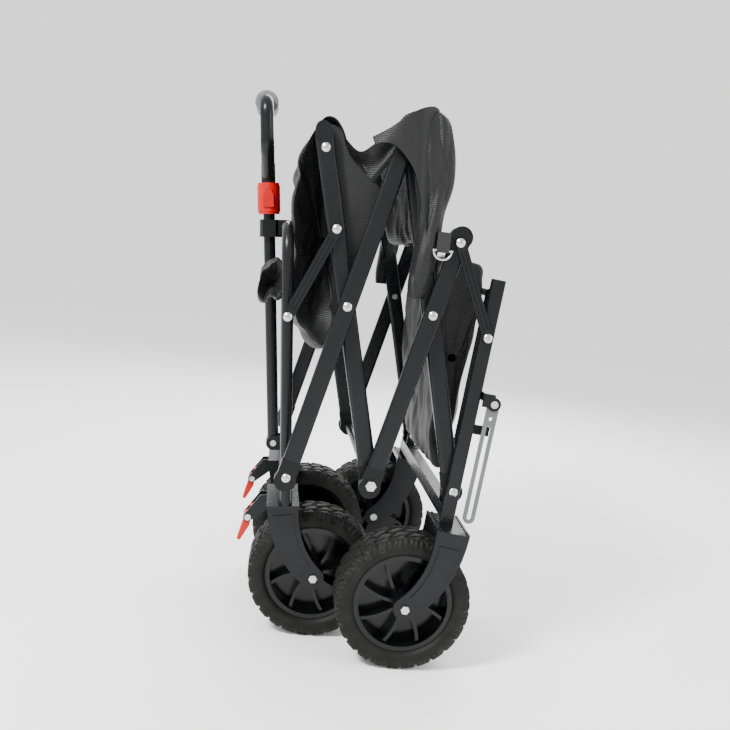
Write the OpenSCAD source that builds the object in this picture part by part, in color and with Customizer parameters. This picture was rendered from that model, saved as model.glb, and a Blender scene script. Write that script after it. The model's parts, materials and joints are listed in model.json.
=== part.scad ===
// Folding beach cart, shown folded: a scissor frame with a wheel at each corner,
// a leaning front arch that carries the pull handle, a rear frame with a drop-down
// tailgate, and the cloth bag gathered between the two sides.
// X runs from the handle end (negative) to the tailgate end, Y across, Z up.

/* [Scissor] */
// Length of a scissor bar from its end pivot to the crossing pivot
bar_half = 262; // [230:1:320]
// Angle of the bars from the floor while folded
fold_angle = 76.4; // [74:0.1:79]
// Distance from the crossing pivot up to the brace pivot
brace_reach = 110; // [90:1:130]
// Distance from the crossing pivot up to the rivet that holds the hood
hood_reach = 224; // [200:1:240]
// Width of a scissor bar's oval tube
bar_w = 26; // [20:0.5:32]
// Thickness of a scissor bar's oval tube
bar_t = 14; // [10:0.5:16]
// Wall of every steel tube
tube_wall = 1.5; // [1:0.1:2.5]
// Distance from the middle of the cart to the middle of the outer bars
bar_plane = 230; // [210:1:280]
// Play between two neighbouring bars
bar_play = 2; // [1:0.1:3]
// Width of a brace link
brace_w = 15; // [11:0.5:20]
// Thickness of a brace link
brace_t = 5; // [3:0.5:6]

/* [End frames] */
// Lean of the end frames while folded
post_lean = 5.1; // [3:0.1:7]
// Distance between a post's lower pivot and its brace pivot
post_span = 232; // [210:1:250]
// Radius of the front arch's round tube
arch_r = 8.5; // [7:0.5:10]
// Height of the front arch's top above the lower pivot
arch_rise = 368; // [340:1:400]
// Bend radius at the front arch's corners
arch_bend = 45; // [35:1:60]
// Width of a rear post
rear_post_w = 20; // [16:0.5:24]
// Height of a rear post's top above the lower pivot
rear_post_rise = 317; // [290:1:340]
// Height and width of the square cross beams
beam_w = 20; // [16:0.5:24]

/* [Wheels and forks] */
// Outer radius of a wheel
wheel_r = 100; // [90:1:110]
// Width of a tyre
tyre_w = 76; // [60:1:80]
// Radius where the tyre meets the rim
rim_r = 73; // [66:0.5:80]
// Number of spokes
spokes = 8; // [5:1:12]
// Radius of an axle bolt
axle_r = 4; // [3:0.5:5]
// Distance from the middle of the cart to the middle of a front wheel
front_track = 129; // [122:1:130]
// Distance from the middle of the cart to the middle of a rear wheel
rear_track = 226; // [224:1:260]
// Depth of the axle below the post's lower pivot
fork_drop = 172.6; // [165:0.1:200]
// Distance the axle sits inboard of the post
fork_inset = 43; // [30:0.5:50]
// Distance from the wheel's middle to the fork's outer face
fork_half = 50; // [48:0.5:54]
// Thickness of a fork arm
fork_t = 4; // [3:0.5:6]
// Depth of the fork's crown below the post's lower pivot
crown_drop = 50.6; // [46:0.1:56]
// How far the crown reaches inboard of the post
crown_in = 20.4; // [18:0.1:24]
// How far the crown reaches outboard of the post
crown_out = 28.1; // [24:0.1:32]
// Half width of a fork arm at the axle
arm_tip = 17; // [14:0.5:20]

/* [Handle] */
// Lean of the folded handle
handle_lean = 6.6; // [5.5:0.1:7.5]
// Radius of the handle's lower tube
handle_r = 9.5; // [8:0.5:11]
// Radius of the tube that slides in the lower tube
slider_r = 7.7; // [6:0.1:8]
// Length from the handle's pivot to the bottom of its collar
collar_at = 379; // [360:1:400]
// Height of the collar
collar_h = 50; // [40:1:60]
// Radius of the collar
collar_r = 18.5; // [16:0.5:22]
// Radius of the loop's tube
loop_r = 10.5; // [8:0.5:12]
// Length from the handle's pivot to the middle of its grip
grip_at = 553; // [530:1:580]
// Radius of the foam grip
grip_r = 18.5; // [16:0.5:22]
// Length of the foam grip
grip_l = 104; // [90:1:130]
// How far the sliding tube reaches down inside the lower tube
slider_in = 330; // [300:1:340]

/* [Tailgate and stays] */
// Height of the stay's rivet above the post's lower pivot
stay_top = 140; // [120:1:150]
// Distance of the stay outboard of the rear post's middle
stay_out = 29; // [26:0.5:34]
// Length of the stay from its rivet to its last slot position
stay_l = 172; // [160:1:180]
// Width of the stay
stay_w = 18; // [15:0.5:20]
// Thickness of the stay
stay_t = 3; // [2:0.5:3]
// Width of the stay's slot
slot_w = 6.5; // [5:0.5:8]
// Distance from the stay's rivet to the guide pin
pin_drop = 43; // [38:1:50]
// Height of the tailgate's hinge relative to the post's lower pivot
gate_hinge = -6; // [-8:1:-4]
// Height of the tailgate's top above the post's lower pivot
gate_rise = 296; // [270:1:300]
// Radius of the tailgate's round tube
gate_r = 7; // [6:0.5:8]

/* [Fasteners] */
// Radius of a rivet's shank
rivet_r = 4; // [3:0.5:5]
// Radius of a rivet's domed head
head_r = 6.4; // [5:0.1:8]
// Height of a rivet's domed head
head_h = 2.6; // [2:0.1:4]
// Running clearance around a shank
fit = 0.05; // [0.02:0.01:0.1]

/* [Cloth] */
// Half width of the gathered bag
bag_half = 183; // [150:1:184]
// Clearance between the cloth and the steel that carries it
cloth_gap = 0.3; // [0.2:0.1:0.6]

/* [Hidden] */
$fn = 48;

steel = [0.13, 0.14, 0.15];
plastic = [0.07, 0.07, 0.08];
zinc = [0.78, 0.79, 0.8];
cloth = [0.06, 0.06, 0.065];
red = [0.85, 0.12, 0.1];

// Layers from the outside of the cart inwards
layer_step = bar_t + bar_play;
inner_plane = bar_plane - layer_step;
arch_plane = inner_plane - bar_t / 2 - bar_play - arch_r + 1;
outer_face = bar_plane + bar_t / 2;
inner_face = inner_plane - bar_t / 2;
cap_t = bar_t + 1;
cap_face = inner_plane - cap_t / 2;
cap_seat = bar_plane + cap_t / 2;

// Pivots of the near side, as [x, z] with x measured from the middle
pivot_z = wheel_r + fork_drop * cos(post_lean) - fork_inset * sin(post_lean);
bar_dir = [cos(fold_angle), sin(fold_angle)];
mid_low = [0, pivot_z];
end_low = mid_low + [2 * bar_half * bar_dir[0], 0];
cross = mid_low + bar_half * bar_dir;
brace_top = cross + brace_reach * bar_dir;
hood_pin = cross + hood_reach * bar_dir;
mid_top = mid_low + [0, 2 * bar_half * bar_dir[1]];
post_up = [sin(post_lean), cos(post_lean)];
brace_low = end_low + post_span * post_up;

// The row's origin lies under the middle of the whole cart
handle_foot_out = 20;
handle_foot_up = 2;
handle_foot = frame_point(handle_foot_out, handle_foot_up);
grip_x = -(handle_foot[0] + grip_at * sin(handle_lean));
stay_head = frame_point(stay_out, stay_top);
front_reach = grip_x - grip_r;
tab_r = stay_w / 2 + 1;
rear_reach = max(stay_head[0] + tab_r, frame_point(-fork_inset, 0)[0] + wheel_r
    - fork_drop * sin(post_lean));
centre_shift = -(front_reach + rear_reach) / 2;

cap_r = 16;
cap_len = 26;
cap_drop = 4;
head_gap = 0.05;
open_slack = 0.4;

// A point of the end frame: distance outboard of the post, height above its lower pivot
function frame_point(out, up) = end_low + out * [post_up[1], -post_up[0]] + up * post_up;

// ---- placing ----
module in_row() {
    translate([centre_shift, 0, 0]) children();
}

// Children drawn for x > 0 are shown at the handle end when front is true
module end_of(front) {
    if (front) mirror([1, 0, 0]) children();
    else children();
}

// Children drawn on the near side (negative y) are shown on the far side when far is true
module side_of(far) {
    if (far) mirror([0, 1, 0]) children();
    else children();
}

module both_sides() {
    for (far = [false, true]) side_of(far) children();
}

// Turns the XY plane of a flat shape into the XZ plane, from y0 towards the middle by depth
module upright(y0, depth) {
    translate([0, y0 + depth, 0]) rotate([90, 0, 0]) linear_extrude(depth) children();
}

module at_point(p) {
    translate([p[0], 0, p[1]]) children();
}

// Axis across the cart: a round bar from y0, depth long, at point p
module across(p, y0, depth, r) {
    translate([p[0], y0, p[1]]) rotate([-90, 0, 0]) cylinder(h = depth, r = r);
}

// ---- shared shapes ----
module rounded_rect(w, t, r) {
    square([w, t - 2 * r], center = true);
    square([w - 2 * r, t], center = true);
    for (sx = [-1, 1], sy = [-1, 1])
        translate([sx * (w / 2 - r), sy * (t / 2 - r)]) circle(r);
}

// Oval tube that starts at distance from and ends at distance to along its own +Z
module oval_tube(from, to, w, t, r) {
    translate([0, 0, from]) linear_extrude(to - from) difference() {
        rounded_rect(w, t, r);
        rounded_rect(w - 2 * tube_wall, t - 2 * tube_wall, r - tube_wall);
    }
}

// Leans children whose own +Z is the bar's length; the foot is at p
module along_bar(p, plane, lean) {
    translate([p[0], -plane, p[1]]) rotate([0, lean, 0]) children();
}

// Bend of a round tube in the plane across the cart, from an angle above +Y
module elbow(centre, bend, from, sweep, r) {
    translate([0, centre[0], centre[1]]) rotate([90, 0, 90]) rotate([0, 0, from])
        rotate_extrude(angle = sweep) translate([bend, 0]) circle(r);
}

module cross_bore(at, r) {
    translate([0, 0, at]) rotate([90, 0, 0]) cylinder(h = 60, r = r, center = true);
}

// One scissor bar from its foot pivot, with bores at the distances in holes
module scissor_bar(length, holes) {
    color(steel) difference() {
        oval_tube(cap_len, length, bar_w, bar_t, 5);
        for (at = holes) cross_bore(at, rivet_r + fit);
    }
}

// Plastic foot that closes a bar's lower end around its pivot
module bar_foot() {
    color(plastic) difference() {
        rotate([90, 0, 0]) translate([0, 0, -cap_t / 2]) linear_extrude(cap_t) union() {
            translate([0, -cap_drop]) circle(cap_r);
            translate([-bar_w / 2 - 1, -cap_drop]) square([bar_w + 2, cap_len + cap_drop]);
        }
        cross_bore(0, rivet_r + fit);
    }
}

// Domed rivet through the layers: the shank runs inwards from the head's seat
module rivet(p, seat, grip, tail = 1.2) {
    translate([p[0], -seat, p[1]]) rotate([-90, 0, 0]) {
        cylinder(h = grip, r = rivet_r);
        translate([0, 0, -head_h]) difference() {
            dome = (head_r * head_r + head_h * head_h) / (2 * head_h);
            translate([0, 0, dome]) sphere(dome);
            translate([-50, -50, head_h]) cube([100, 100, 100]);
        }
        translate([0, 0, grip]) cylinder(h = tail, r = head_r - 1);
    }
}

long_bar_l = 2 * bar_half;
lean_in = 90 - fold_angle;

// ---- scissor bars ----
tip_from = bar_half + hood_reach + 12;
tip_round = 11;
tip_len = 25;

module inner_front_bar() {
    end_of(true) along_bar(mid_low, inner_plane, lean_in)
        scissor_bar(tip_from, [bar_half, bar_half + brace_reach, bar_half + hood_reach]);
}

module outer_front_bar() {
    end_of(true) along_bar(end_low, bar_plane, -lean_in)
        scissor_bar(long_bar_l - cap_len, [bar_half]);
}

module outer_rear_bar() {
    along_bar(mid_low, bar_plane, lean_in)
        scissor_bar(bar_half + brace_reach - cap_len / 2, [bar_half]);
}

module inner_rear_bar() {
    along_bar(end_low, inner_plane, -lean_in)
        scissor_bar(long_bar_l - cap_len, [bar_half]);
}

// Tapered round cap on the upper end of a front inner bar
module tip_cap() {
    color(plastic) rotate([90, 0, 0]) translate([0, 0, -cap_t / 2]) linear_extrude(cap_t) union() {
        translate([0, tip_from + tip_len - tip_round]) circle(tip_round);
        polygon([
            [-bar_w / 2, tip_from], [bar_w / 2, tip_from],
            [tip_round * 0.98, tip_from + tip_len - tip_round + 2],
            [-tip_round * 0.98, tip_from + tip_len - tip_round + 2]
        ]);
    }
}

// Cap at the joint where an outer and an inner bar meet at the top
module joint_cap(slack) {
    color(plastic) difference() {
        rotate([90, 0, 0]) translate([0, 0, -cap_t / 2]) linear_extrude(cap_t) union() {
            translate([0, long_bar_l]) circle(cap_r - 2);
            translate([-bar_w / 2, long_bar_l - cap_len]) square([bar_w, cap_len]);
        }
        cross_bore(long_bar_l, rivet_r + slack);
    }
}

// Big round cap over the brace pivot of a rear outer bar
module shoulder_cap() {
    at = bar_half + brace_reach;
    color(plastic) difference() {
        rotate([90, 0, 0]) translate([0, 0, -cap_t / 2]) linear_extrude(cap_t) union() {
            translate([0, at + 8]) circle(cap_r);
            translate([-bar_w / 2 - 1, at - cap_len / 2]) square([bar_w + 2, cap_len / 2 + 8]);
        }
        cross_bore(at, rivet_r + fit);
    }
}

// ---- braces ----
brace_v = brace_top - brace_low;
brace_l = norm(brace_v);
brace_turn = atan2(brace_v[0], brace_v[1]);
front_brace_face = inner_plane + bar_t / 2 + 0.8;
rear_brace_face = outer_face + 0.8 + 0.5;

module brace(face) {
    rib_w = 2.2;
    color(steel) translate([brace_low[0], -face - brace_t, brace_low[1]])
        rotate([0, brace_turn, 0]) difference() {
            union() {
                translate([0, brace_t, 0]) rotate([90, 0, 0]) linear_extrude(brace_t) union() {
                    circle(brace_w / 2);
                    translate([0, brace_l]) circle(brace_w / 2);
                    translate([-brace_w / 2, 0]) square([brace_w, brace_l]);
                }
            }
            for (side = [-1, 1]) translate([side * brace_w * 0.2 - rib_w / 2, -1, brace_w * 0.9])
                cube([rib_w, 2.5, brace_l - brace_w * 1.8]);
            for (at = [0, brace_l]) translate([0, -1, at]) rotate([-90, 0, 0])
                cylinder(h = brace_t + 2, r = rivet_r + fit);
        }
}

// ---- end frames ----
// Children drawn in frame space: +X outboard of the post, +Z up along it, from the lower pivot
module in_frame() {
    translate([end_low[0], 0, end_low[1]]) rotate([0, post_lean, 0]) children();
}

module arch_leg() {
    top_end = arch_rise - arch_r - arch_bend;
    translate([0, -arch_plane, -crown_drop]) cylinder(h = crown_drop + top_end, r = arch_r);
    elbow([-arch_plane + arch_bend, top_end], arch_bend, 90, 90, arch_r);
}

module front_arch() {
    color(steel) in_row() end_of(true) in_frame() difference() {
        union() {
            both_sides() arch_leg();
            translate([0, -(arch_plane - arch_bend), arch_rise - arch_r]) rotate([-90, 0, 0])
                cylinder(h = 2 * (arch_plane - arch_bend), r = arch_r);
        }
        both_sides() translate([0, -arch_plane, 0]) cross_bore(0, rivet_r + fit);
    }
}

// Square beam whose ends are coped around the arch's round tube
module front_beam() {
    beam_half = arch_plane - 2;
    color(steel) in_row() end_of(true) in_frame() difference() {
        translate([-beam_w / 2, -beam_half, -crown_drop]) cube([beam_w, 2 * beam_half, beam_w]);
        both_sides() translate([0, -arch_plane, -crown_drop - 1])
            cylinder(h = beam_w + 2, r = arch_r + fit);
    }
}

module rear_post() {
    color(steel) in_frame() difference() {
        translate([0, -bar_plane, 0])
            oval_tube(-crown_drop, rear_post_rise, rear_post_w, bar_t, 3);
        translate([0, -bar_plane, 0]) cross_bore(0, rivet_r + fit);
    }
}

rear_beam_low = -crown_drop + 8;
ear_t = 3;
module rear_beam() {
    ear_at = gate_plane - gate_r - 0.3;
    beam_half = bar_plane - bar_t / 2;
    color(steel) in_row() in_frame() difference() {
        union() {
            translate([-beam_w / 2, -beam_half, rear_beam_low])
                cube([beam_w, 2 * beam_half, beam_w]);
            both_sides() translate([0, -ear_at, 0]) rotate([90, 0, 0]) mirror([0, 0, 1])
                linear_extrude(ear_t) union() {
                    translate([0, gate_hinge]) circle(gate_r + 1);
                    translate([-gate_r - 1, rear_beam_low + beam_w - 1])
                        square([2 * gate_r + 2, gate_hinge - rear_beam_low - beam_w + 1]);
                }
        }
        both_sides() translate([0, -ear_at - 1, gate_hinge]) rotate([-90, 0, 0])
            cylinder(h = ear_t + 2, r = rivet_r - 1 + fit);
    }
}

// ---- forks ----
// Outline of a fork arm in frame space: a curved tusk from the crown to the axle
arm_steps = 10;
arm_top = [(crown_out - crown_in) / 2, -crown_drop - fork_t];
arm_knee = [arm_top[0], -crown_drop - 80];
arm_end = [-fork_inset, -fork_drop];
arm_half = (crown_out + crown_in) / 2;
function arm_mid(t) = (1 - t) * (1 - t) * arm_top + 2 * t * (1 - t) * arm_knee + t * t * arm_end;
function arm_run(t) = 2 * (1 - t) * (arm_knee - arm_top) + 2 * t * (arm_end - arm_knee);
function arm_side(t, half) = arm_mid(t) + half * [-arm_run(t)[1], arm_run(t)[0]] / norm(arm_run(t));
function arm_width(t, trim) = arm_half + (arm_tip - arm_half) * t - trim;

module arm_outline(t0, t1, trim) {
    polygon(concat(
        [for (i = [0:arm_steps]) let(t = t0 + (t1 - t0) * i / arm_steps) arm_side(t, arm_width(t, trim))],
        [for (i = [arm_steps:-1:0]) let(t = t0 + (t1 - t0) * i / arm_steps) arm_side(t, -arm_width(t, trim))]
    ));
}

// Fork in frame space, its wheel's middle at distance track; reach is where the crown ends
module fork(track, reach) {
    color(steel) in_frame() difference() {
        union() {
            for (face = [track + fork_half, track - fork_half + fork_t])
                upright(-face, fork_t) {
                    arm_outline(0, 1, 0);
                    translate(arm_end) circle(arm_tip);
                }
            upright(-track - fork_half - 1.5, 1.5) arm_outline(0.12, 0.86, 8);
            translate([-crown_in, -reach, -crown_drop - fork_t])
                cube([crown_in + crown_out, reach - (track - fork_half), fork_t]);
        }
        translate([arm_end[0], -track - fork_half - 3, arm_end[1]]) rotate([-90, 0, 0])
            cylinder(h = 2 * fork_half + 6, r = axle_r + fit);
    }
}

lever_track = front_track - 12;
lever_at = [58, -90];
lever_half = 10;
brake_cheek = 3;

// Cheeks on the front fork that carry the brake lever
module brake_cheeks() {
    color(plastic) in_frame() difference() {
        for (face = [lever_track + lever_half + 0.4 + brake_cheek, lever_track - lever_half - 0.4])
            upright(-face, brake_cheek) {
                translate(lever_at) circle(7);
                polygon([[crown_out - 2, -crown_drop - fork_t], [crown_out - 2, -76],
                    [lever_at[0] - 5, lever_at[1] - 5], [lever_at[0] + 4, lever_at[1] + 6],
                    [crown_out + 10, -crown_drop - fork_t]]);
            }
        translate([lever_at[0], -lever_track - 20, lever_at[1]]) rotate([-90, 0, 0])
            cylinder(h = 40, r = 3 + fit);
    }
}

module front_fork(far) {
    in_row() end_of(true) side_of(far) {
        fork(front_track, arch_plane + arch_r);
        brake_cheeks();
    }
}

module rear_fork(far) {
    rib_h = 1.6;
    in_row() side_of(far) {
        fork(rear_track, rear_track + fork_half);
        color(steel) in_frame() for (at = [-crown_in, crown_out - 3, -crown_in + 7])
            translate([at, -rear_track - fork_half, -crown_drop])
                cube([3, 2 * fork_half, rib_h]);
    }
}

// Red lever: thumb tab above its hinge, paddle below
module brake_lever(far) {
    tab_half = lever_half - 2;
    color(red) in_row() end_of(true) side_of(far) in_frame() difference() {
        union() {
            translate([lever_at[0], -lever_track - lever_half, lever_at[1]]) rotate([-90, 0, 0])
                cylinder(h = 2 * lever_half, r = 6.5);
            upright(-lever_track - lever_half + 0.5, 2 * lever_half - 1) translate(lever_at)
                polygon([[-5, -3], [-3, -14], [12, -38], [17, -36], [12, -20], [5, 0]]);
            upright(-lever_track - tab_half, 2 * tab_half) translate(lever_at)
                polygon([[-4, -3], [-15, 3], [-19, 10], [-10, 17], [-3, 17], [-8, 9], [3, 4]]);
        }
        translate([lever_at[0], -lever_track - 20, lever_at[1]]) rotate([-90, 0, 0])
            cylinder(h = 40, r = 3 + fit);
    }
}

// ---- wheels ----
hub_r = 17;
hub_half = fork_half - fork_t - 1.5;
rim_half = tyre_w / 2 - 8;
axle_point = arm_end;

module at_wheel(front, far, track) {
    in_row() end_of(front) side_of(far) in_frame()
        translate([axle_point[0], -track, axle_point[1]]) rotate([90, 0, 0]) children();
}

// Rim drawn about +Z, which points to the outside of the cart
module rim_shape() {
    spoke_t = 5;
    web_t = 4;
    color(plastic) difference() {
        union() {
            rotate_extrude() union() {
                translate([rim_r - 5, -rim_half]) square([5, 2 * rim_half]);
                translate([rim_r - 7, rim_half - 3]) square([10, 3]);
                translate([rim_r - 7, -rim_half]) square([10, 3]);
                translate([axle_r + fit, -hub_half]) square([hub_r - axle_r - fit, 2 * hub_half]);
                translate([hub_r - 1, -web_t / 2]) square([rim_r - 5 - hub_r + 2, web_t]);
            }
            for (i = [0:spokes - 1]) rotate([0, 0, i * 360 / spokes]) spoke(spoke_t);
        }
    }
}

// Curved spoke: an arc from the hub to the rim
module spoke(t) {
    sweep_r = 95;
    turn = asin((rim_r - 4 - hub_r / 2) / (2 * sweep_r));
    depth = rim_half - 6;
    intersection() {
        translate([hub_r / 2 + 2, -sweep_r, -depth]) rotate([0, 0, 90 - 2 * turn - 4])
            rotate_extrude(angle = 2 * turn + 4) translate([sweep_r - t / 2, 0]) square([t, 2 * depth]);
        difference() {
            translate([0, 0, -depth]) cylinder(h = 2 * depth, r = rim_r - 4);
            translate([0, 0, -depth - 1]) cylinder(h = 2 * depth + 2, r = hub_r - 2);
        }
    }
}

// Tyre section: square shoulders with round corners, a hollow seat on the rim
module tyre_shape() {
    corner = 9;
    color([0.1, 0.1, 0.1]) rotate_extrude() difference() {
        union() {
            translate([rim_r, -tyre_w / 2 + corner]) square([wheel_r - rim_r, tyre_w - 2 * corner]);
            translate([rim_r, -tyre_w / 2]) square([wheel_r - rim_r - corner, tyre_w]);
            for (side = [-1, 1]) translate([wheel_r - corner, side * (tyre_w / 2 - corner)]) circle(corner);
        }
        for (side = [-1, 1]) translate([rim_r - 1, side * (rim_half - 1.5) - 1.5]) square([4, 3]);
    }
}

module axle_set(front, track) {
    color(zinc) for (far = [false, true]) at_wheel(front, far, track) {
        translate([0, 0, -fork_half]) cylinder(h = 2 * fork_half, r = axle_r);
        translate([0, 0, fork_half]) cylinder(h = 4.5, r = 6.5, $fn = 6);
        translate([0, 0, -fork_half - 4.5]) cylinder(h = 4.5, r = 6.5);
    }
}

// ---- handle ----
// Children drawn in handle space: +Z along the handle from its pivot, +X outboard
module in_handle() {
    in_row() end_of(true) translate([handle_foot[0], 0, handle_foot[1]])
        rotate([0, handle_lean, 0]) children();
}

cheek_in = handle_r + 0.6;
cheek_t = 3;
cheek_r = 12;

module handle_bracket() {
    color(steel) in_row() end_of(true) in_frame() difference() {
        union() {
            translate([-beam_w / 2, -9, beam_w - crown_drop])
                cube([beam_w - 2, 18, crown_drop - beam_w + 12]);
            both_sides() upright(-cheek_in - cheek_t, cheek_t) {
                translate([handle_foot_out, handle_foot_up]) circle(cheek_r);
                translate([-beam_w / 2, -12 + handle_foot_up])
                    square([handle_foot_out + beam_w / 2, 24]);
            }
            both_sides() translate([-beam_w / 2, -cheek_in - 1, -10]) cube([beam_w - 2, 4, 22]);
        }
        translate([handle_foot_out, -20, handle_foot_up]) rotate([-90, 0, 0])
            cylinder(h = 40, r = 3 + fit);
    }
}

foot_rise = 16;
foot_half = handle_r + 0.3;
module handle_tube() {
    color(steel) in_handle() difference() {
        union() {
            cylinder(h = collar_at, r = handle_r);
            rotate([-90, 0, 0]) translate([0, 0, -foot_half])
                cylinder(h = 2 * foot_half, r = handle_r + 1.5);
        }
        translate([0, 0, foot_rise]) cylinder(h = collar_at, r = slider_r + 0.3);
        rotate([-90, 0, 0]) translate([0, 0, -20]) cylinder(h = 40, r = 3 + fit);
    }
}

button_w = 16;
button_h = 28;
button_t = 4;
button_at = collar_at + 11;
button_sink = 4;

module button_outline(grow) {
    union() {
        translate([-button_w / 2 - grow, -grow]) square([button_w + 2 * grow, button_h * 0.68 + grow]);
        polygon([[-button_w / 2 - grow, button_h * 0.68 - 0.1], [button_w / 2 + grow, button_h * 0.68 - 0.1],
            [button_w / 4, button_h + grow], [-button_w / 4, button_h + grow]]);
    }
}

module handle_collar() {
    color(red) in_handle() difference() {
        translate([0, 0, collar_at]) union() {
            cylinder(h = collar_h, r = collar_r - 1.2);
            translate([0, 0, 4]) cylinder(h = collar_h - 8, r = collar_r);
        }
        translate([0, 0, collar_at - 1]) cylinder(h = collar_h + 2, r = slider_r + 0.3);
        translate([0, -collar_r + button_sink + 3, button_at]) rotate([90, 0, 0])
            linear_extrude(20) button_outline(0.3);
    }
}

// The thumb button stands proud of the collar and presses in
module handle_button() {
    color(red) in_handle() translate([0, -collar_r + button_sink - 0.5, button_at])
        rotate([90, 0, 0]) linear_extrude(button_t + 1.5) button_outline(0);
}

loop_half = grip_l / 2 + 6;
loop_top_bend = 22;
loop_low_bend = 25;
loop_slant = 50;
loop_foot = collar_at + collar_h + 0.3;
yoke_r = loop_r + 5;
yoke_h = 30;
leg_foot = loop_foot + 10;
leg_start = loop_r * cos(loop_slant) + 1;

// One side of the loop: slanted out of the yoke, then straight up, with a bend at each end.
// The bends are a hair thicker than the straights, which end inside them.
module loop_side() {
    low_end = loop_half - loop_low_bend * (1 - cos(loop_slant));
    slant_l = (low_end - leg_start) / sin(loop_slant);
    bend_at = leg_foot + slant_l * cos(loop_slant) + loop_low_bend * sin(loop_slant);
    top_at = grip_at - loop_top_bend;
    bend_r = loop_r + 0.2;
    translate([0, leg_start, leg_foot]) rotate([-loop_slant, 0, 0])
        cylinder(h = slant_l + 1, r = loop_r);
    elbow([loop_half - loop_low_bend, bend_at], loop_low_bend, -loop_slant, loop_slant, bend_r);
    translate([0, loop_half, bend_at - 1]) cylinder(h = top_at - bend_at + 2, r = loop_r);
    elbow([loop_half - loop_top_bend, top_at], loop_top_bend, 0, 90, bend_r);
}

module handle_loop() {
    color(steel) in_handle() {
        translate([0, 0, collar_at - slider_in]) cylinder(h = slider_in + collar_h + 5, r = slider_r);
        intersection() {
            translate([0, 0, loop_foot]) cylinder(h = yoke_h, r = yoke_r);
            translate([-loop_r - 0.8, -yoke_r, loop_foot - 1])
                cube([2 * loop_r + 1.6, 2 * yoke_r, yoke_h + 2]);
        }
        translate([0, loop_top_bend - loop_half - 1, grip_at]) rotate([-90, 0, 0])
            cylinder(h = 2 * (loop_half - loop_top_bend + 1), r = loop_r);
        both_sides() loop_side();
    }
}

module handle_grip() {
    end_r = 4;
    color([0.3, 0.31, 0.32]) in_handle() translate([0, -grip_l / 2 + 18, grip_at])
        rotate([-90, 0, 0]) rotate_extrude() translate([loop_r + fit, 0]) union() {
            len_y = grip_l - 36;
            wall = grip_r - loop_r - fit;
            square([wall - end_r, len_y]);
            translate([0, end_r]) square([wall, len_y - 2 * end_r]);
            for (y = [end_r, len_y - end_r]) translate([wall - end_r, y]) circle(end_r);
        }
}

// Hexagonal clip on the arch's top tube; the handle drops into its open channel
clip_low = 344;
clip_h = 28;
module handle_clip() {
    hex_r = 21;
    ring_r = arch_r + 4;
    tube_at = handle_foot_out + (clip_low + clip_h / 2 - handle_foot_up) * tan(handle_lean - post_lean);
    channel = handle_r + 0.5;
    color(plastic) in_row() end_of(true) in_frame() difference() {
        union() {
            translate([tube_at, 0, clip_low]) cylinder(h = clip_h, r = hex_r, $fn = 6);
            translate([0, -12, arch_rise - arch_r]) rotate([-90, 0, 0]) cylinder(h = 24, r = ring_r);
            translate([0, -12, arch_rise - arch_r - ring_r]) cube([tube_at - 14, 24, 2 * ring_r]);
        }
        translate([tube_at, 0, clip_low - 20]) cylinder(h = clip_h + 40, r = channel);
        translate([tube_at, -channel, clip_low - 20]) cube([40, 2 * channel, clip_h + 40]);
        translate([0, -20, arch_rise - arch_r]) rotate([-90, 0, 0]) cylinder(h = 40, r = arch_r + fit);
    }
}

// ---- tailgate ----
gate_plane = inner_face - bar_play - 3 - gate_r;
stay_face = outer_face + head_h + 0.6;
tab_t = 2.5;
tab_face = stay_face + stay_t + 0.4;

module tailgate_frame() {
    tab_back = rear_post_w / 2 + 1.5;
    arm_low = stay_top + 2;
    arm_h = 12;
    color(steel) in_row() in_frame() difference() {
        union() {
            both_sides() {
                translate([0, -gate_plane, gate_hinge]) cylinder(h = gate_rise - gate_hinge, r = gate_r);
                translate([0, -gate_plane, gate_hinge]) sphere(gate_r);
                translate([0, -gate_plane, gate_rise]) sphere(gate_r);
                translate([0, -gate_plane - 3, arm_low]) cube([tab_back + 3, 3, arm_h]);
                translate([tab_back, -tab_face - tab_t, arm_low])
                    cube([3, tab_face + tab_t - gate_plane + 3, arm_h]);
                upright(-tab_face - tab_t, tab_t) {
                    translate([stay_out, stay_top]) circle(tab_r);
                    translate([tab_back, stay_top - 6])
                        square([stay_out - tab_back, arm_low + arm_h - stay_top + 6]);
                }
            }
            for (at = [40, gate_rise]) translate([0, -gate_plane, at]) rotate([-90, 0, 0])
                cylinder(h = 2 * gate_plane, r = gate_r);
        }
        both_sides() {
            translate([0, -gate_plane - 20, gate_hinge]) rotate([-90, 0, 0])
                cylinder(h = 40, r = rivet_r - 1 + fit);
            translate([stay_out, -tab_face - 10, stay_top]) rotate([-90, 0, 0])
                cylinder(h = 20, r = rivet_r - 1 + fit);
        }
    }
}

module stay() {
    slot_from = 30;
    color([0.35, 0.36, 0.37]) in_frame() difference() {
        upright(-stay_face - stay_t, stay_t) {
            for (at = [0, -stay_l]) translate([stay_out, stay_top + at]) circle(stay_w / 2);
            translate([stay_out - stay_w / 2, stay_top - stay_l]) square([stay_w, stay_l]);
        }
        translate([0, -stay_face - stay_t - 1, 0]) rotate([90, 0, 0]) mirror([0, 0, 1])
            linear_extrude(stay_t + 2) {
                translate([stay_out, stay_top]) circle(rivet_r - 1 + fit);
                translate([stay_out, stay_top - 22]) circle(2.8);
                for (at = [-slot_from - slot_w, -stay_l]) translate([stay_out, stay_top + at])
                    circle(slot_w / 2);
                translate([stay_out - slot_w / 2, stay_top - stay_l])
                    square([slot_w, stay_l - slot_from - slot_w]);
            }
    }
}

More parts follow.
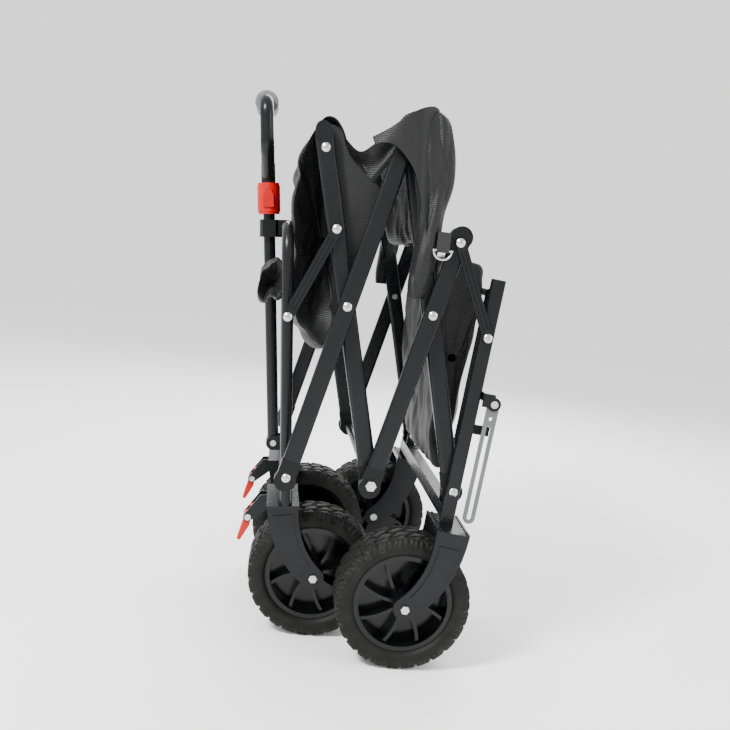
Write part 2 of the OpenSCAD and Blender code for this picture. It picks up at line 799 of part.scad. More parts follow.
// Lug on the rear post with the guide pin that the stay's slot passes over
module stay_pins() {
    lug_t = 3;
    lug_face = bar_plane - 2;
    color(plastic) in_row() in_frame() both_sides() {
        translate([rear_post_w / 2, -lug_face - lug_t, stay_top - pin_drop - 7])
            cube([stay_out - rear_post_w / 2 + 5, lug_t, 14]);
        translate([stay_out, -stay_face + cloth_gap, stay_top - pin_drop]) rotate([-90, 0, 0])
            cylinder(h = stay_face - cloth_gap - lug_face - 0.1, r = slot_w / 2 - 0.6);
    }
}

// ---- cloth ----
// Gathered cloth: an outline in the XZ plane across the cart, tied to its bars
module cloth_block(points, tie, tie_to) {
    color(cloth) in_row() {
        upright(-bag_half, 2 * bag_half) polygon(points);
        both_sides() across(tie, -tie_to + cloth_gap, tie_to - cloth_gap - bag_half + 1, 10);
    }
}

function flip(p) = [-p[0], p[1]];
front_tie = flip(mid_low + (bar_half + 158) * bar_dir);
middle_tie = end_low + (bar_half + 172) * flip(bar_dir);
rear_tie = mid_low + (bar_half + 82) * bar_dir + [12, -4];

bag_front_outline = [
    [-145, 722], [-136, 748], [-114, 762], [-78, 759], [-40, 692], [-62, 560], [-72, 470],
    [-90, 456], [-124, 487], [-136, 530], [-140, 590], [-141, 650], [-138, 700]
];
bag_middle_outline = [
    [-8, 796], [16, 812], [46, 794], [64, 732], [62, 640], [80, 556], [62, 540], [34, 548], [22, 640]
];
bag_rear_outline = [
    [92, 614], [126, 602], [139, 586], [134, 506], [121, 404], [112, 300], [102, 296],
    [90, 400], [84, 490], [86, 560]
];
bag_fold_outline = [
    [-164, 574], [-176, 572], [-192, 542], [-190, 516], [-180, 504], [-166, 528]
];

// ---- nodes ----
module centre_rod() {
    color(steel) in_row() across(mid_low, -cap_face + 0.3, 2 * cap_face - 0.6, 6);
}

module centre_bolts() {
    color(zinc) in_row() both_sides() {
        across(mid_low, -cap_seat - 1, cap_seat - cap_face + 1.25, rivet_r);
        translate([0, -cap_seat - head_gap, pivot_z]) rotate([90, 0, 0]) cylinder(h = 6, r = 8, $fn = 6);
    }
}

module both_caps() {
    color(plastic) in_row() both_sides() children();
}

module front_inner_caps() {
    both_caps() end_of(true) along_bar(mid_low, inner_plane, lean_in) {
        bar_foot();
        tip_cap();
    }
}

module front_outer_caps() {
    both_caps() end_of(true) along_bar(end_low, bar_plane, -lean_in) {
        bar_foot();
        joint_cap(fit);
    }
}

module rear_outer_caps() {
    both_caps() along_bar(mid_low, bar_plane, lean_in) {
        bar_foot();
        shoulder_cap();
    }
}

module rear_inner_caps() {
    both_caps() along_bar(end_low, inner_plane, -lean_in) {
        bar_foot();
        joint_cap(open_slack);
    }
}

module rivet_set() {
    color(zinc) in_row() both_sides() children();
}

module front_inner_rivets() {
    rivet_set() {
        rivet(flip(brace_top), front_brace_face + brace_t + head_gap,
            brace_t + bar_t + front_brace_face - inner_plane - bar_t / 2 + 0.2);
        rivet(flip(hood_pin), inner_plane + bar_t / 2 + head_gap, bar_t + 0.2);
    }
}

two_layers = layer_step + bar_t + 1;
module front_outer_rivets() {
    rivet_set() {
        rivet(flip(cross), bar_plane + bar_t / 2 + head_gap, two_layers);
        rivet(mid_top, cap_seat + head_gap, layer_step + cap_t + 0.2);
    }
}

module rear_outer_rivets() {
    rivet_set() {
        rivet(cross, bar_plane + bar_t / 2 + head_gap, two_layers);
        rivet(brace_top, rear_brace_face + brace_t + head_gap,
            rear_brace_face + brace_t - bar_plane + cap_t / 2 + 0.2);
    }
}

module front_frame_rivets() {
    rivet_set() {
        rivet(flip(end_low), cap_seat + head_gap, cap_seat - arch_plane + arch_r + 0.2);
    }
    color(zinc) in_row() translate([-handle_foot[0], 0, handle_foot[1]]) rotate([90, 0, 0]) {
        translate([0, 0, -cheek_in - cheek_t - 0.1]) cylinder(h = 2 * (cheek_in + cheek_t + 0.1), r = 3);
        for (side = [0, 1]) mirror([0, 0, side]) translate([0, 0, cheek_in + cheek_t + 0.1])
            cylinder(h = 2.5, r = 5);
    }
    color(zinc) in_row() end_of(true) both_sides() in_frame()
        translate([lever_at[0], -lever_track, lever_at[1]]) rotate([90, 0, 0]) {
            reach = lever_half + 0.4 + brake_cheek + 0.1;
            translate([0, 0, -reach]) cylinder(h = 2 * reach, r = 3);
            for (side = [0, 1]) mirror([0, 0, side]) translate([0, 0, reach]) cylinder(h = 1.8, r = 5);
        }
}

module rear_frame_rivets() {
    rivet_set() {
        rivet(end_low, bar_plane + bar_t / 2 + head_gap, two_layers);
    }
    pin_l = 2 * gate_r + ear_t + 1;
    color(zinc) in_row() both_sides() in_frame()
        translate([0, -gate_plane - gate_r - 0.5, gate_hinge]) rotate([-90, 0, 0]) {
            cylinder(h = pin_l, r = rivet_r - 1);
            translate([0, 0, pin_l]) cylinder(h = 1.5, r = rivet_r + 1);
        }
}

// Each pin ends just short of the post it pivots on, where the linkage is left open
module front_brace_pins() {
    rivet_set() rivet(flip(brace_low), front_brace_face + brace_t + head_gap,
        front_brace_face + brace_t - arch_plane - arch_r - 1.5);
}

module rear_brace_pins() {
    rivet_set() rivet(brace_low, rear_brace_face + brace_t + head_gap, brace_t + 0.35, 0.6);
}

module stay_rivets() {
    color(zinc) in_row() both_sides() in_frame()
        translate([stay_out, -tab_face - tab_t - head_gap, stay_top]) rotate([-90, 0, 0]) {
            cylinder(h = tab_t + stay_t + 0.8, r = rivet_r - 1);
            translate([0, 0, -2]) cylinder(h = 2, r = 5.5);
            translate([0, 0, tab_t + stay_t + 0.7]) cylinder(h = 1.2, r = 5);
        }
}

// Webbing strap from the gathered cloth, with a steel D-ring hanging outside the bars
ring_at = [63, 616];
ring_plane = outer_face + 6;
ring_wire = 1.6;
strap_w = 18;
strap_wall = 3;
module ring_strap() {
    hang_h = 26;
    link_h = 8;
    color(cloth) in_row() translate([ring_at[0] - strap_w / 2, 0, ring_at[1]]) difference() {
        union() {
            translate([0, -ring_plane - strap_wall, -strap_wall])
                cube([strap_w, 2 * strap_wall, strap_wall + hang_h]);
            translate([0, -ring_plane + strap_wall - 1, hang_h - link_h])
                cube([strap_w, ring_plane - strap_wall + 1 - bag_half - cloth_gap, link_h]);
        }
        translate([-1, -ring_plane, 0]) rotate([0, 90, 0])
            cylinder(h = strap_w + 2, r = ring_wire + 0.3);
    }
}

module d_ring() {
    half = 13;
    color(zinc) in_row() translate([ring_at[0], -ring_plane, ring_at[1]]) {
        translate([-half - ring_wire, 0, 0]) rotate([0, 90, 0])
            cylinder(h = 2 * (half + ring_wire), r = ring_wire + 0.2);
        rotate([90, 0, 0]) rotate([0, 0, 180]) rotate_extrude(angle = 180)
            translate([half, 0]) circle(ring_wire);
    }
}

module bag_fold() {
    color(cloth) in_row() {
        upright(-150, 120) polygon(bag_fold_outline);
        translate([-167, -arch_plane + arch_r + cloth_gap, 532]) cube([19, arch_plane - arch_r - 149, 16]);
    }
}

centre_rod();
centre_bolts();
in_row() inner_front_bar();  // front_inner_bar_near
in_row() side_of(true) inner_front_bar();  // front_inner_bar_far
in_row() outer_front_bar();  // front_outer_bar_near
in_row() side_of(true) outer_front_bar();  // front_outer_bar_far
in_row() outer_rear_bar();  // rear_outer_bar_near
in_row() side_of(true) outer_rear_bar();  // rear_outer_bar_far
in_row() inner_rear_bar();  // rear_inner_bar_near
in_row() side_of(true) inner_rear_bar();  // rear_inner_bar_far
front_inner_caps();
front_outer_caps();
rear_outer_caps();
rear_inner_caps();
front_inner_rivets();
front_outer_rivets();
rear_outer_rivets();
front_frame_rivets();
rear_frame_rivets();
front_arch();
front_beam();
handle_bracket();
handle_clip();
front_fork(false);  // front_fork_near
front_fork(true);  // front_fork_far
rear_fork(false);  // rear_fork_near
rear_fork(true);  // rear_fork_far
in_row() both_sides() rear_post();  // rear_posts
rear_beam();
in_row() end_of(true) both_sides() brace(front_brace_face);  // front_braces
in_row() both_sides() brace(rear_brace_face);  // rear_braces
front_brace_pins();
rear_brace_pins();
at_wheel(true, false, front_track) rim_shape();  // front_rim_near
at_wheel(true, true, front_track) rim_shape();  // front_rim_far
at_wheel(false, false, rear_track) rim_shape();  // rear_rim_near
at_wheel(false, true, rear_track) rim_shape();  // rear_rim_far
at_wheel(true, false, front_track) tyre_shape();  // front_tyre_near
at_wheel(true, true, front_track) tyre_shape();  // front_tyre_far
at_wheel(false, false, rear_track) tyre_shape();  // rear_tyre_near
at_wheel(false, true, rear_track) tyre_shape();  // rear_tyre_far
axle_set(true, front_track);  // front_axles
axle_set(false, rear_track);  // rear_axles
brake_lever(false);  // brake_lever_near
brake_lever(true);  // brake_lever_far
handle_tube();
handle_collar();
handle_button();
handle_loop();
handle_grip();
tailgate_frame();
in_row() both_sides() stay();  // stays
stay_rivets();
stay_pins();
cloth_block(bag_front_outline, front_tie, inner_face);  // bag_front
cloth_block(bag_middle_outline, middle_tie, inner_face);  // bag_middle
cloth_block(bag_rear_outline, rear_tie, bar_plane - bar_t / 2);  // bag_rear
bag_fold();
ring_strap();
d_ring();
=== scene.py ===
"""Looks of the folding beach cart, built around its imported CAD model.

Lengths are metres. Outlines of cloth are drawn in millimetres as (x, z) from the centre rod,
x towards the tailgate, and turned into the row frame by at().
"""
import json
import math

import bpy
from mathutils import Matrix, Vector, noise


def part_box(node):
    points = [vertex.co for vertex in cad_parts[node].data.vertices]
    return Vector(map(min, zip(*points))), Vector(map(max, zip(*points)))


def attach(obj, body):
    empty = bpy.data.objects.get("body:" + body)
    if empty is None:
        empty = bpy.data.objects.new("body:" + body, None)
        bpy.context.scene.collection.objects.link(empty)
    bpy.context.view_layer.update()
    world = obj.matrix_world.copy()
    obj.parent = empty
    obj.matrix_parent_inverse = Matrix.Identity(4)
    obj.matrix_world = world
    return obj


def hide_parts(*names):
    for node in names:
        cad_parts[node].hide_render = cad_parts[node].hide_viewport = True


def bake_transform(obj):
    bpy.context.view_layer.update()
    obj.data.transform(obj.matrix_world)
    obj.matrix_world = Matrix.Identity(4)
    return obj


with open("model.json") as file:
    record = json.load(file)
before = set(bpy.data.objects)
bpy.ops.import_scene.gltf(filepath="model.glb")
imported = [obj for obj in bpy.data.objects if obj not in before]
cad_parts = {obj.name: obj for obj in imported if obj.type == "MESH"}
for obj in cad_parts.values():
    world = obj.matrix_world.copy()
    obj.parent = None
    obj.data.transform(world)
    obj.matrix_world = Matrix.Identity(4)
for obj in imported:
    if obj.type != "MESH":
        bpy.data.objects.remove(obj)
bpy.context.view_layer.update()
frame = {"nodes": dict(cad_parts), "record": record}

MM = 0.001
CLOTH_THICKNESS = 0.0012
NEAR, FAR = -1, 1
rod_low, rod_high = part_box("centre_rod")
rod = (rod_low + rod_high) / 2


def at(x, y, z):
    """A point in the row frame: x from the centre rod, y across the cart, z from the floor, in mm."""
    return Vector((rod.x + x * MM, y * MM, z * MM))


# ---- camera, floor and light ----
CAMERA_AT = (-166.3, -1539.3, 607.6)
YAW, PITCH, ROLL = 0.106, 0.125, 0.112
FOCAL_MM = 45.62
SENSOR_MM = 36.0


def add_camera():
    camera = bpy.data.cameras.new("camera")
    camera.lens, camera.sensor_width = FOCAL_MM, SENSOR_MM
    holder = bpy.data.objects.new("camera", camera)
    forward = Vector((math.sin(YAW) * math.cos(PITCH), math.cos(YAW) * math.cos(PITCH),
                      -math.sin(PITCH)))
    right = Vector((math.cos(YAW), -math.sin(YAW), 0))
    up = right.cross(forward)
    turned_right = math.cos(ROLL) * right + math.sin(ROLL) * up
    turned_up = -math.sin(ROLL) * right + math.cos(ROLL) * up
    axes = Matrix((turned_right, turned_up, -forward)).transposed().to_4x4()
    holder.matrix_world = Matrix.Translation(at(*CAMERA_AT)) @ axes
    bpy.context.scene.collection.objects.link(holder)
    bpy.context.scene.camera = holder


def add_light(name, place, aim, size, watts):
    lamp = bpy.data.lights.new(name, "AREA")
    lamp.shape, lamp.size, lamp.energy = "DISK", size, watts
    holder = bpy.data.objects.new(name, lamp)
    holder.location = place
    holder.rotation_euler = (Vector(aim) - Vector(place)).to_track_quat("-Z", "Y").to_euler()
    bpy.context.scene.collection.objects.link(holder)


def add_world():
    world = bpy.data.worlds.new("studio")
    bpy.context.scene.world = world
    world.use_nodes = True
    background = world.node_tree.nodes["Background"]
    background.inputs["Color"].default_value = (1.0, 1.0, 1.0, 1)
    background.inputs["Strength"].default_value = 1.5


def add_floor():
    bpy.ops.mesh.primitive_plane_add(size=14, location=(0, 0, -0.0005))
    floor = bpy.context.object
    floor.name = "floor"
    floor.data.materials.append(coat("floor", (0.96, 0.96, 0.955), 0.75, grain=(60, 0.02), mottle=(3, 0.01)))


# ---- materials ----
class Shader:
    """A node tree with the few wires that every material here needs."""

    def __init__(self, name):
        self.material = bpy.data.materials.new(name)
        self.material.use_nodes = True
        self.tree = self.material.node_tree
        self.surface = self.tree.nodes["Principled BSDF"]
        self.place = self.add("ShaderNodeTexCoord").outputs["Object"]

    def add(self, kind, **settings):
        node = self.tree.nodes.new(kind)
        for key, value in settings.items():
            setattr(node, key, value)
        return node

    def wire(self, out, into):
        self.tree.links.new(out, into)

    def noise(self, scale, detail=3.0):
        node = self.add("ShaderNodeTexNoise")
        node.inputs["Scale"].default_value = scale
        node.inputs["Detail"].default_value = detail
        self.wire(self.place, node.inputs["Vector"])
        return node.outputs["Fac"]

    def bands(self, direction, period, distort=0.0):
        node = self.add("ShaderNodeTexWave", bands_direction=direction)
        node.inputs["Scale"].default_value = math.pi / 10 / period
        node.inputs["Distortion"].default_value = distort
        self.wire(self.place, node.inputs["Vector"])
        return node.outputs["Fac"]

    def spread(self, value, low, high, start=0.3, end=0.7):
        node = self.add("ShaderNodeMapRange")
        node.inputs["From Min"].default_value = start
        node.inputs["From Max"].default_value = end
        node.inputs["To Min"].default_value = low
        node.inputs["To Max"].default_value = high
        self.wire(value, node.inputs["Value"])
        return node.outputs["Result"]

    def tint(self, value, dark, light):
        node = self.add("ShaderNodeMix", data_type="RGBA")
        node.inputs["A"].default_value = (*dark, 1)
        node.inputs["B"].default_value = (*light, 1)
        self.wire(value, node.inputs["Factor"])
        return node.outputs["Result"]

    def bump(self, height, strength, distance, under=None):
        node = self.add("ShaderNodeBump")
        node.inputs["Strength"].default_value = strength
        node.inputs["Distance"].default_value = distance
        self.wire(height, node.inputs["Height"])
        if under:
            self.wire(under, node.inputs["Normal"])
        return node.outputs["Normal"]

    def set(self, name, value):
        self.surface.inputs[name].default_value = value


def coat(name, colour, rough, metal=0.0, grain=(900, 0.15), mottle=(25, 0.12), shine=0.5, clear=0.0):
    """Paint, plastic or metal: a mottled colour, uneven gloss and a fine grain."""
    s = Shader(name)
    patches = s.spread(s.noise(mottle[0]), 0, 1)
    dark = [c * (1 - mottle[1]) for c in colour]
    light = [min(1, c * (1 + mottle[1])) for c in colour]
    s.wire(s.tint(patches, dark, light), s.surface.inputs["Base Color"])
    s.wire(s.spread(s.noise(mottle[0] * 4), rough * 0.9, rough * 1.12), s.surface.inputs["Roughness"])
    s.wire(s.bump(s.noise(grain[0]), grain[1], 0.0004), s.surface.inputs["Normal"])
    s.set("Metallic", metal)
    s.set("Specular IOR Level", shine)
    s.set("Coat Weight", clear)
    s.set("Coat Roughness", 0.15)
    return s.material


def woven(name, colour, rib, cross, ridge=0.5, fuzz=0.35):
    """Ribbed polyester: ribs along the height, finer threads across, worn and dusty in patches."""
    s = Shader(name)
    ribs = s.bands("Z", rib, 0.6)
    threads = s.bands("DIAGONAL", cross, 0.8)
    wear = s.spread(s.noise(14, 5), 0, 1)
    s.wire(s.tint(wear, [c * 0.8 for c in colour], [c * 1.35 for c in colour]),
           s.surface.inputs["Base Color"])
    soft = s.bump(s.noise(260, 4), 0.25, 0.0006)
    fine = s.bump(threads, ridge * 0.4, 0.0002, soft)
    s.wire(s.bump(ribs, ridge, 0.0004, fine), s.surface.inputs["Normal"])
    s.wire(s.spread(ribs, 0.42, 0.66), s.surface.inputs["Roughness"])
    s.set("Sheen Weight", fuzz)
    s.set("Sheen Roughness", 0.5)
    s.set("Specular IOR Level", 0.3)
    return s.material


def foam_grip(name):
    s = Shader(name)
    ribs = s.bands("Y", 0.0016)
    s.wire(s.tint(s.spread(s.noise(120), 0, 1), (0.075, 0.075, 0.08), (0.14, 0.14, 0.145)),
           s.surface.inputs["Base Color"])
    s.wire(s.bump(ribs, 0.4, 0.0004, s.bump(s.noise(700), 0.5, 0.0005)), s.surface.inputs["Normal"])
    s.set("Roughness", 0.85)
    s.set("Sheen Weight", 0.4)
    return s.material


MATERIALS = {
    "painted_steel": coat("painted_steel", (0.0042, 0.0056, 0.0060), 0.27, shine=0.20, grain=(1400, 0.10)),
    "moulded_plastic": coat("moulded_plastic", (0.0040, 0.0044, 0.0046), 0.40, grain=(2200, 0.22),
                            shine=0.16),
    "rim_plastic": coat("rim_plastic", (0.0022, 0.0025, 0.0027), 0.18, grain=(1100, 0.06), shine=0.26),
    "tyre_rubber": coat("tyre_rubber", (0.0065, 0.0065, 0.0062), 0.55, grain=(700, 0.3), mottle=(60, 0.3),
                        shine=0.14),
    "zinc_steel": coat("zinc_steel", (0.50, 0.50, 0.49), 0.30, metal=1.0, grain=(500, 0.08),
                       mottle=(200, 0.12)),
    "grey_steel": coat("grey_steel", (0.11, 0.115, 0.115), 0.38, metal=0.35, grain=(800, 0.1)),
    "red_plastic": coat("red_plastic", (0.42, 0.0018, 0.0012), 0.34, shine=0.22, grain=(1500, 0.1),
                        clear=0.05),
    "foam": foam_grip("foam"),
    "bag_cloth": woven("bag_cloth", (0.0030, 0.0031, 0.0034), 0.0026, 0.0011, ridge=0.8, fuzz=0.03),
    "webbing": woven("webbing", (0.010, 0.0097, 0.0097), 0.0014, 0.0030, ridge=0.7, fuzz=0.05),
}


def dress_nodes():
    slots = {p["node"]: p["material_slot"] for p in frame["record"]["subparts"]}
    for name, node in frame["nodes"].items():
        node.data.materials.clear()
        node.data.materials.append(MATERIALS[slots[name]])


# ---- curves and meshes ----
def smooth(points, count, closed=False):
    """count points spread evenly along a Catmull-Rom curve through points."""
    points = [Vector(p) for p in points]
    last = len(points)
    spans = last if closed else last - 1

    def pick(i):
        return points[i % last] if closed else points[max(0, min(last - 1, i))]

    fine, steps = [], 24
    for i in range(spans):
        a, b, c, d = pick(i - 1), pick(i), pick(i + 1), pick(i + 2)
        for k in range(steps):
            t = k / steps
            fine.append(0.5 * (2 * b + (c - a) * t + (2 * a - 5 * b + 4 * c - d) * t * t
                               + (3 * b - a - 3 * c + d) * t ** 3))
    fine.append(points[0] if closed else points[-1])
    runs = [0.0]
    for p, q in zip(fine, fine[1:]):
        runs.append(runs[-1] + (q - p).length)
    out, j = [], 0
    for i in range(count):
        goal = runs[-1] * i / (count if closed else count - 1)
        while j < len(runs) - 2 and runs[j + 1] < goal:
            j += 1
        step = runs[j + 1] - runs[j] or 1e-9
        out.append(fine[j].lerp(fine[j + 1], (goal - runs[j]) / step))
    return out


def new_piece(name, points, faces, slot, body=None):
    mesh = bpy.data.meshes.new(name)
    mesh.from_pydata([tuple(p) for p in points], [], faces)
    mesh.polygons.foreach_set("use_smooth", [True] * len(mesh.polygons))
    mesh.materials.append(MATERIALS[slot])
    mesh.update()
    piece = bpy.data.objects.new(name, mesh)
    bpy.context.scene.collection.objects.link(piece)
    if body:
        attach(piece, body)
    return piece


def grid_faces(rows, columns, wrap=False):
    span = columns if wrap else columns - 1
    return [(r * columns + c, r * columns + (c + 1) % columns,
             (r + 1) * columns + (c + 1) % columns, (r + 1) * columns + c)
            for r in range(rows - 1) for c in range(span)]


def thicken(piece):
    """Cloth thickness on both sides of the drawn sheet, then one level of smoothing."""
    solid = piece.modifiers.new("cloth", "SOLIDIFY")
    solid.thickness, solid.offset = CLOTH_THICKNESS, 0
    fine = piece.modifiers.new("fine", "SUBSURF")
    fine.levels = fine.render_levels = 1


def crease(p, seed, size=1.0):
    """Soft irregular folds, as a number near -1 to 1 at a point in metres."""
    q = Vector((p.x * 14, p.y * 22, p.z * 9)) / size + Vector((seed * 3.1, seed, -seed))
    return noise.noise(q) + 0.5 * noise.noise(q * 2.3)


def ridge(p, seed, across=26.0, along=7.0):
    """Sharp-crested folds that run mostly upright, from -1 in a valley to about 1 on a crest."""
    q = Vector((p.x * across, p.y * across * 0.7, p.z * along)) + Vector((seed, seed * 2.7, -seed))
    q.x += 0.8 * noise.noise(Vector((p.z * 11, p.x * 9, seed)))
    return 1 - 2.4 * abs(noise.noise(q)) - 0.5 * abs(noise.noise(q * 2.6))


# ---- gathered bag: shells drawn along the cart's width ----
TUCKED_END = [(0.52, 0.003), (0.55, 0.20), (0.66, 0.42), (0.80, 0.66), (0.93, 0.84), (1.0, 0.96), (0.96, 1.0)]
FULL_END = [(0.942, 0.003), (0.945, 0.05), (0.968, 0.35), (0.985, 0.66), (1.0, 0.88), (0.985, 0.98),
            (0.93, 1.0)]


def gathered(name, outline, half, body, node, end, pleat, sag, seed, span=None):
    """Cloth gathered into a roll that runs across the cart, its outline given in the XZ plane."""
    around, along = 120, 46
    ring = smooth([(x, z) for x, z in outline], around, closed=True)
    middle = sum(ring, Vector((0, 0))) / around
    low, high = span or (-half, half)
    stations = [(-y, s) for y, s in end] + [(-0.6, 1.0), (-0.3, 1.0), (0, 1.0), (0.3, 1.0), (0.6, 1.0)]
    stations += [(y, s) for y, s in reversed(end)]
    path = smooth([(y, s) for y, s in stations], along * 2)
    points = []
    for y_part, scale in path:
        y = low + (high - low) * (y_part + 1) / 2
        hang = sag * (1 - y_part * y_part)
        for i, p in enumerate(ring):
            turn = i / around * 2 * math.pi
            before, after = ring[i - 1], ring[(i + 1) % around]
            side = Vector((after.y - before.y, before.x - after.x)).normalized()
            gather = 1 + 0.16 * math.sin(11 * turn + seed) * (1 - scale)
            q = middle + (p - middle) * scale * gather
            spot = at(q.x, y, q.y)
            push = pleat * (0.6 * crease(spot, seed) + 0.9 * ridge(spot, seed))
            push *= min(1, scale + 0.3)
            q = q + side * (push - pleat * 0.7)
            points.append(at(q.x, y, q.y - hang))
    rows = len(path)
    faces = grid_faces(rows, around, wrap=True)
    piece = new_piece(name, points, faces, "bag_cloth", body)
    thicken(piece)
    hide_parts(node)
    return piece


def panel(name, top, bottom, body, fold=3.0, bulge=0.0, seed=1):
    """A sheet between a top edge and a bottom edge, each a list of (x, y, z) in mm."""
    columns, rows = 40, 34
    high, low = smooth(top, columns), smooth(bottom, columns)
    points = []
    for r in range(rows):
        v = r / (rows - 1)
        for c in range(columns):
            u = c / (columns - 1)
            p = high[c].lerp(low[c], v)
            swell = bulge * math.sin(math.pi * u) * math.sin(math.pi * min(1, v * 0.9 + 0.1))
            spot = at(p.x, p.y, p.z)
            ease = math.sin(math.pi * min(1, max(0, v * 1.3))) * 0.6 + 0.4
            p = p + Vector((0, -swell + fold * ease * crease(spot, seed, 0.8), 0))
            points.append(at(*p))
    faces = grid_faces(rows, columns)
    piece = new_piece(name, points, faces, "bag_cloth", body)
    thicken(piece)
    return piece


def mirrored(points, side):
    """Points drawn on the near side (y negative), for either side."""
    return [(x, -side * y, z) for x, y, z in points]


FRONT_OUTLINE = [(-145, 722), (-134, 752), (-119, 778), (-92, 766), (-62, 730), (-44, 690), (-60, 600),
                 (-64, 540), (-72, 478), (-92, 458), (-124, 488), (-137, 530), (-141, 590),
                 (-143, 650), (-139, 700)]
MIDDLE_OUTLINE = [(-8, 790), (16, 806), (44, 796), (57, 750), (57, 690), (51, 650), (38, 632),
                  (28, 648), (22, 700), (6, 748)]
REAR_OUTLINE = [(90, 612), (112, 606), (128, 603), (138, 592), (139, 570), (134, 506), (122, 410),
                (113, 308), (103, 300), (92, 400), (84, 490), (84, 560)]
FOLD_OUTLINE = [(-158, 572), (-170, 577), (-184, 562), (-193, 540), (-190, 516), (-180, 506), (-170, 516),
                (-158, 512), (-150, 530), (-149, 556)]


def add_bag():
    gathered("bag_front_cloth", FRONT_OUTLINE, 184, "front_inner_bars", "bag_front", TUCKED_END, 7, 12, 1.3)
    gathered("bag_middle_cloth", MIDDLE_OUTLINE, 184, "rear_inner_bars", "bag_middle", TUCKED_END, 6, 10, 2.9)
    gathered("bag_rear_cloth", REAR_OUTLINE, 186, "rear_outer_bars", "bag_rear", FULL_END, 7, 8, 4.4)
    gathered("handle_lump_cloth", FOLD_OUTLINE, 60, "front_frame", "bag_fold", TUCKED_END, 8, 0, 6.1,
             span=(-150, -30))


def add_panels():
    for side, tag in ((NEAR, "near"), (FAR, "far")):
        hood_high = mirrored([(-147, -204, 723), (-137, -205, 752), (-121, -205, 781), (-106, -204, 784),
                              (-93, -204, 771), (-84, -202, 752)], side)
        hood_low = mirrored([(-140, -120, 700), (-134, -110, 742), (-120, -104, 768), (-106, -104, 770),
                             (-90, -108, 756), (-78, -112, 730)], side)
        panel(f"hood_{tag}", hood_high, hood_low, "front_inner_bars",
              fold=2.5, seed=7 + side)
        fan_high = mirrored([(-119, -204, 776), (-95, -204, 769), (-77, -205, 733), (-29, -206, 693)], side)
        fan_low = mirrored([(-78, -203, 556), (-72, -203, 550), (-64, -203, 544), (-49, -203, 534)], side)
        fan = panel(f"fan_panel_{tag}", fan_high, fan_low, None,
                    fold=1.5, seed=11 + side)
        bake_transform(fan)
        tuck_high = mirrored([(-96, -198, 768), (-66, -190, 744), (-44, -200, 757), (-10, -204, 788)], side)
        tuck_low = mirrored([(-84, -182, 690), (-62, -160, 672), (-46, -186, 690), (-16, -198, 740)], side)
        panel(f"tuck_{tag}", tuck_high, tuck_low, "front_inner_bars",
              fold=14, seed=15 + side)
        flap_high = mirrored([(-53, -238, 760), (-30, -247, 775), (-8, -252, 794), (14, -249, 807),
                              (34, -228, 812), (48, -206, 800)], side)
        flap_low = mirrored([(-50, -249, 750), (-28, -254, 753), (-6, -255, 738), (14, -254, 708),
                             (34, -247, 642), (44, -236, 640)], side)
        panel(f"top_flap_{tag}", flap_high, flap_low, "rear_inner_bars",
              fold=4.5, bulge=2, seed=19 + side)
        column(side, tag)


def column(side, tag):
    """The side panel's folds, hanging in a bunch over the upper end of the rear inner bar."""
    levels = [(808, 12, 34, 6), (798, 2, 52, 16), (780, 0, 60, 20), (746, 8, 68, 22), (707, 16, 70, 22),
              (667, 24, 62, 20), (624, 25, 60, 19), (598, 24, 57, 18), (566, 22, 52, 15), (544, 24, 46, 8)]
    around, rows = 96, 90
    shape = smooth(levels, rows)
    points = []
    for z, left, right, deep in shape:
        for i in range(around):
            turn = 2 * math.pi * i / around
            flat = abs(math.cos(turn)) ** 0.8 * math.copysign(1, math.cos(turn))
            x = (left + right) / 2 + flat * (right - left) / 2
            y = -224 + math.sin(turn) * deep
            spot = at(x, side * y, z)
            ripple = 4.8 * ridge(spot, 23 + side, across=46.0, along=9.0) + 3.0 * crease(spot, 23 + side, 0.7)
            y += ripple * abs(math.sin(turn)) * (1 if math.sin(turn) < 0 else -1)
            points.append(at(x, -side * y, z))
    faces = grid_faces(rows, around, wrap=True)
    piece = new_piece(f"side_column_{tag}", points, faces, "bag_cloth", "rear_inner_bars")
    thicken(piece)


# ---- wheels ----
def add_tyres():
    """The four tyres share one mesh, each set at the centre of its CAD tyre."""
    shared = None
    for name in ("front_tyre_near", "front_tyre_far", "rear_tyre_near", "rear_tyre_far"):
        low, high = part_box(name)
        if shared is None:
            piece = tyre(name + "_tread", (high.z - low.z) / 2, (high.y - low.y) / 2)
            shared = piece.data
        else:
            piece = bpy.data.objects.new(name + "_tread", shared)
            bpy.context.scene.collection.objects.link(piece)
        piece.location = (low + high) / 2
        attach(piece, name.replace("tyre", "wheel"))
        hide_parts(name)


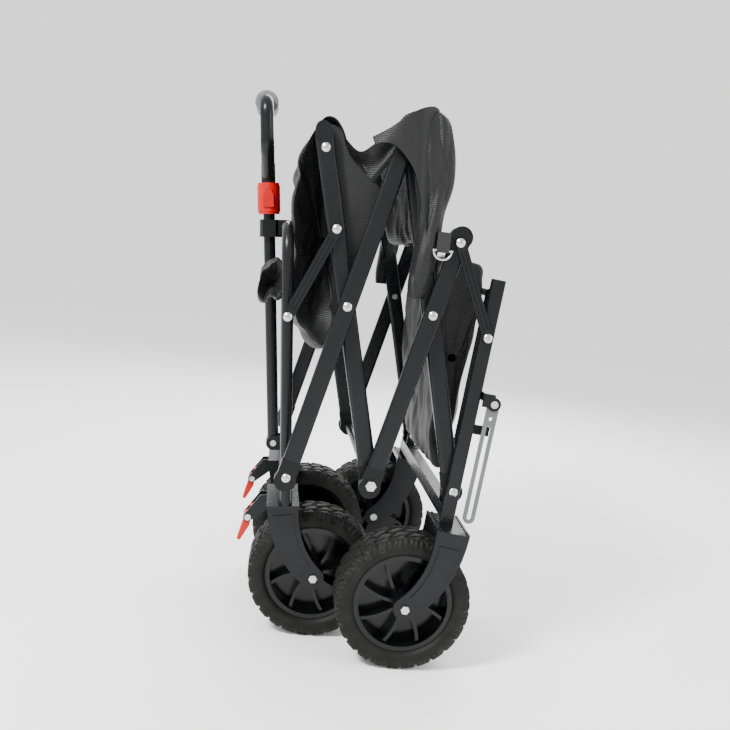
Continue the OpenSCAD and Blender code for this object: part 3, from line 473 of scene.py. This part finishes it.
def tread_depth(arc, y, half):
    """How deep the tread is cut at a point of the tyre's running face, in metres."""
    pitch, depth, gap = 0.0245, 0.0042, 0.0032
    zigzag = 0.0055 * (2 * abs(2 * ((y / 0.030 + 0.25) % 1) - 1) - 1)
    cut = min(abs(((arc + zigzag) % pitch) - pitch / 2) / gap, 1)
    lane = 0.0042 * (2 * abs(2 * ((arc / pitch + 0.1) % 1) - 1) - 1)
    for place in (-0.52, 0.0, 0.52):
        cut = min(cut, abs(y - place * half - lane) / 0.0022)
    edge = abs(y) / half
    if edge > 0.80:
        notch = abs(((arc % (pitch / 3)) - pitch / 6)) / 0.0022
        cut = min(cut, notch)
    return depth * (1 - min(1, cut) ** 2)


def tyre(name, radius, half):
    seat = radius * 0.73
    shoulder = radius - 0.010
    turns = 300
    profile = [(seat, -half + 0.007), (seat + 0.003, -half + 0.002), (seat + 0.007, -half + 0.0005),
               (shoulder - 0.006, -half), (shoulder, -half + 0.0012)]
    bend = 6
    for k in range(1, bend):
        a = math.pi / 2 * k / bend
        profile.append((shoulder + 0.010 * math.sin(a), -half + 0.0105 - 0.0093 * math.cos(a)))
    across = 38
    for k in range(across + 1):
        y = -half + 0.0105 + (2 * half - 0.021) * k / across
        profile.append((radius - 0.0012 * (y / half) ** 2, y))
    profile += [(r, -y) for r, y in reversed(profile[:5 + bend - 1])]
    points = []
    for r, y in profile:
        for i in range(turns):
            turn = 2 * math.pi * i / turns
            cut = tread_depth(turn * radius, y, half) if r > shoulder + 0.002 else 0
            if shoulder - 0.012 < r <= shoulder + 0.002:
                cut = 0.0008 * (i % 3 == 0)
            points.append(Vector(((r - cut) * math.cos(turn), y, (r - cut) * math.sin(turn))))
    return new_piece(name, points, grid_faces(len(profile), turns, wrap=True), "tyre_rubber")


add_camera()
add_world()
add_floor()
add_light("key", (-1.5, -1.5, 2.3), (0, 0, 0.4), 0.6, 150)
add_light("fill", (1.9, -1.0, 1.2), (0, 0, 0.4), 1.0, 16)
add_light("back", (0.4, 1.8, 1.8), (0, 0, 0.5), 1.8, 70)
dress_nodes()
add_bag()
add_panels()
add_tyres()
